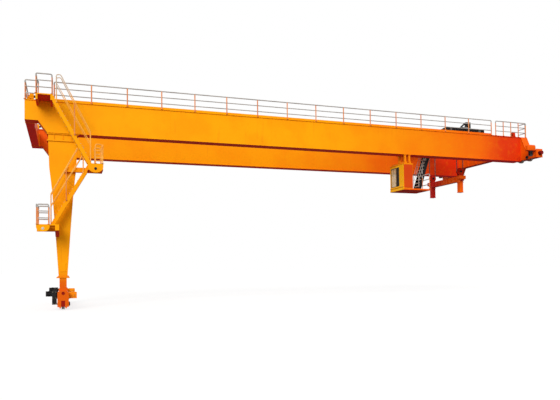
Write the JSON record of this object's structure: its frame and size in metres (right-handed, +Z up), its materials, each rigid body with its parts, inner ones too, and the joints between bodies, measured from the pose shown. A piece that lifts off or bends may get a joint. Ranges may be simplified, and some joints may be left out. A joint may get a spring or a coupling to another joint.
{
  "type": "gantry crane",
  "caption": "Semi-gantry crane: twin box girders on tapered legs at one end and a wheeled carriage on a high runway at the other, with trolley, lifting beam, cab and stairs",
  "frame": {"origin": "centre of the flat underside of the ground beam between the legs", "axes": "X along the girders from the legs to the runway, Y along the rails, Z up"},
  "size_m": [33.73, 11.56, 12.475],
  "materials": {
    "orange_paint": "gloss enamel, lightly weathered",
    "cab_paint": "gloss enamel",
    "red_paint": "worn enamel",
    "dark_paint": "satin black enamel, greasy",
    "rail_paint": "pale grey enamel",
    "steel": "bare rolled steel",
    "rubber": "matt rubber",
    "glass": "clear float glass"
  },
  "bodies": {
    "crane": {"near_girder": "orange_paint", "far_girder": "orange_paint", "end_tie_beam": "orange_paint", "trolley_rails": "steel", "rail_stops": "orange_paint", "near_leg": "orange_paint", "far_leg": "orange_paint", "ground_beam": "orange_paint", "near_foot_housing": "orange_paint", "far_foot_housing": "orange_paint", "ground_drives": "dark_paint", "foot_brakes": "orange_paint", "end_carriage": "orange_paint", "runway_drives": "dark_paint", "carriage_buffers": "rubber", "near_walk_rail": "rail_paint", "far_walk_rail": "rail_paint", "leg_end_rail": "rail_paint", "runway_end_rails": "rail_paint", "head_platform": "orange_paint", "head_platform_rail": "rail_paint", "upper_stair_stringers": "orange_paint", "upper_stair_treads": "rail_paint", "upper_stair_rails": "rail_paint", "mid_landing": "orange_paint", "mid_landing_rail": "rail_paint", "lower_stair_stringers": "orange_paint", "lower_stair_treads": "rail_paint", "lower_stair_rails": "rail_paint", "lower_platform": "orange_paint", "lower_platform_rail": "rail_paint", "cab_floor": "orange_paint", "cab_walls": "cab_paint", "cab_roof": "cab_paint", "cab_glass": "glass", "cab_door": "cab_paint", "cab_hanger": "orange_paint", "cab_stair_stringers": "dark_paint", "cab_stair_treads": "rail_paint", "cab_stair_head": "dark_paint", "cab_porch_rail": "rail_paint"},
    "trolley": {"trolley_frame": "dark_paint", "trolley_wheels": "steel", "hoist_drum": "dark_paint", "hoist_gear": "dark_paint", "hoist_motor": "dark_paint", "hoist_ropes": "steel"},
    "lifting": {"lifting_beam": "red_paint", "sheave_blocks": "red_paint", "hanging_posts": "red_paint"},
    "near_ground_wheel": {"near_ground_wheel": "steel"},
    "far_ground_wheel": {"far_ground_wheel": "steel"},
    "near_runway_wheel_a": {"near_runway_wheel_a": "steel"},
    "near_runway_wheel_b": {"near_runway_wheel_b": "steel"},
    "far_runway_wheel_a": {"far_runway_wheel_a": "steel"},
    "far_runway_wheel_b": {"far_runway_wheel_b": "steel"}
  },
  "joints": [
    {"name": "trolley_travel", "type": "slide", "parent": "crane", "child": "trolley", "axis": [1, 0, 0], "range_m": [-24.5, 2]},
    {"name": "hoist_lift", "type": "slide", "parent": "trolley", "child": "lifting", "axis": [0, 0, 1], "range_m": [-6.6, 0.6], "deforming": ["hoist_ropes"]},
    {"name": "near_ground_wheel_spin", "type": "hinge", "parent": "crane", "child": "near_ground_wheel", "pos_m": [0, -3.625, 0], "axis": [1, 0, 0], "continuous": true},
    {"name": "far_ground_wheel_spin", "type": "hinge", "parent": "crane", "child": "far_ground_wheel", "pos_m": [0, 3.625, 0], "axis": [1, 0, 0], "continuous": true},
    {"name": "near_runway_wheel_a_spin", "type": "hinge", "parent": "crane", "child": "near_runway_wheel_a", "pos_m": [31.55, -4.6, 9.525], "axis": [1, 0, 0], "continuous": true},
    {"name": "near_runway_wheel_b_spin", "type": "hinge", "parent": "crane", "child": "near_runway_wheel_b", "pos_m": [31.55, -3.75, 9.525], "axis": [1, 0, 0], "continuous": true},
    {"name": "far_runway_wheel_a_spin", "type": "hinge", "parent": "crane", "child": "far_runway_wheel_a", "pos_m": [31.55, 4.6, 9.525], "axis": [1, 0, 0], "continuous": true},
    {"name": "far_runway_wheel_b_spin", "type": "hinge", "parent": "crane", "child": "far_runway_wheel_b", "pos_m": [31.55, 3.75, 9.525], "axis": [1, 0, 0], "continuous": true}
  ],
  "couplings": [
    {"joint": "far_ground_wheel_spin", "follows": "near_ground_wheel_spin", "ratio": 1},
    {"joint": "near_runway_wheel_a_spin", "follows": "near_ground_wheel_spin", "ratio": 1.12},
    {"joint": "near_runway_wheel_b_spin", "follows": "near_ground_wheel_spin", "ratio": 1.12},
    {"joint": "far_runway_wheel_a_spin", "follows": "near_ground_wheel_spin", "ratio": 1.12},
    {"joint": "far_runway_wheel_b_spin", "follows": "near_ground_wheel_spin", "ratio": 1.12}
  ]
}
